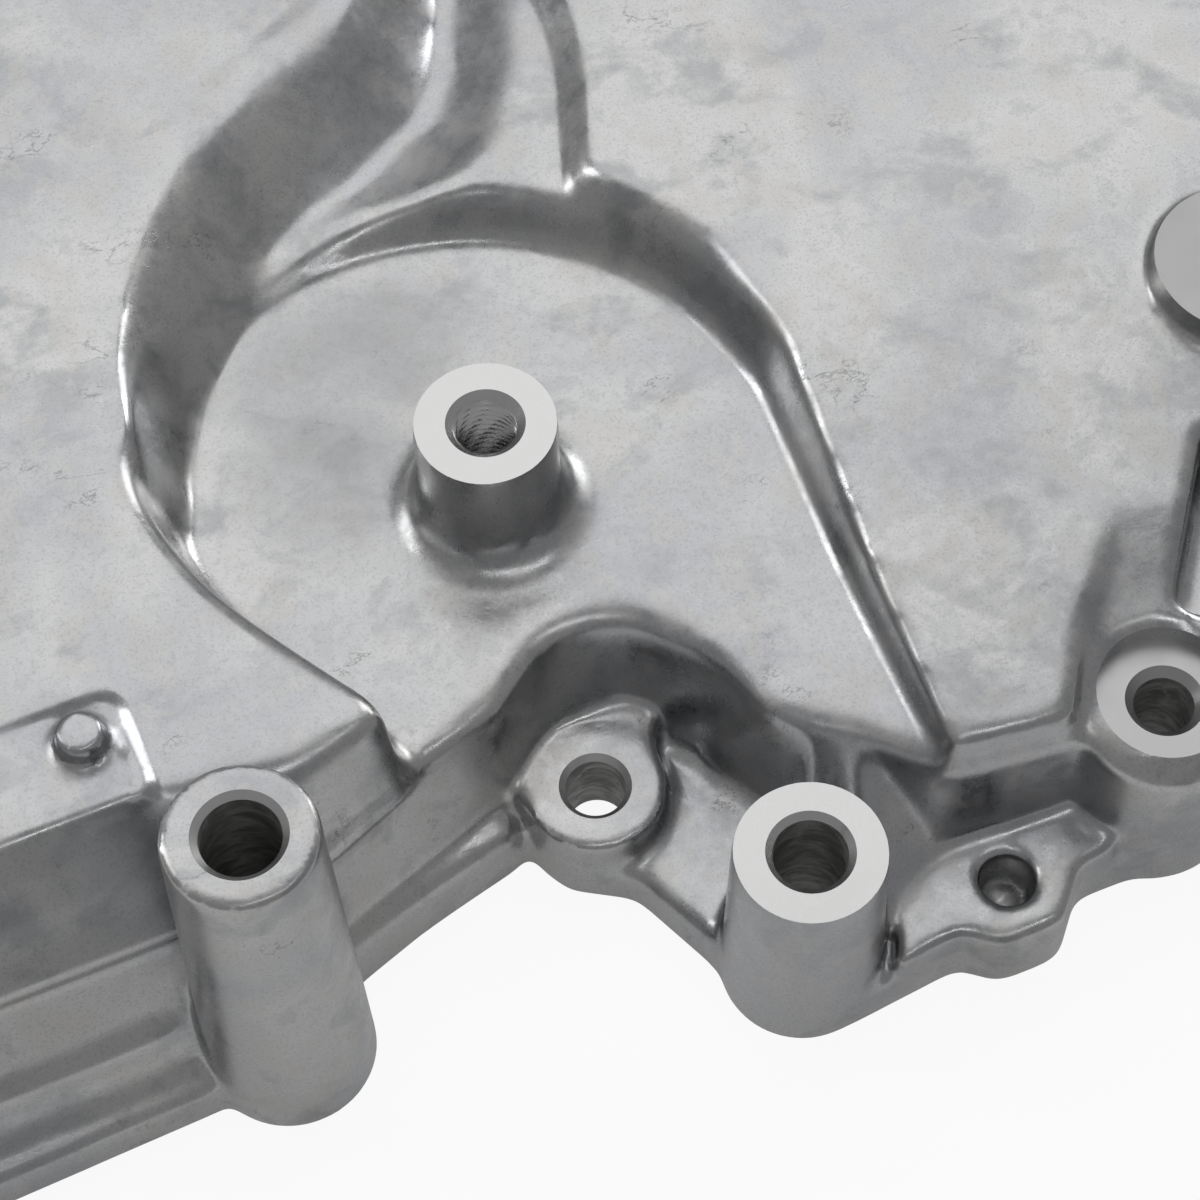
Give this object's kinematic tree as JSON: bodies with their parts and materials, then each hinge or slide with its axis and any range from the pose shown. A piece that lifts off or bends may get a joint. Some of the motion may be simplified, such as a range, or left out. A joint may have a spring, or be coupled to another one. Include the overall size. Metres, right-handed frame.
{
  "type": "timing cover",
  "caption": "Die-cast engine timing cover with a flat gasket flange, a threaded pulley boss in a round pocket and bracket bosses.",
  "frame": {"origin": "middle of the footprint on the gasket plane", "axes": "+Z out of the engine, square to the gasket face; +X along the flange's long edge, from the tall boss towards the bracket arm; -Y towards the flange edge seen in the picture"},
  "size_m": [0.3336, 0.2414, 0.0708],
  "materials": {
    "timing_cover": "as-cast aluminium with machined boss faces"
  },
  "bodies": {
    "root": {"timing_cover": "timing_cover"}
  },
  "joints": []
}
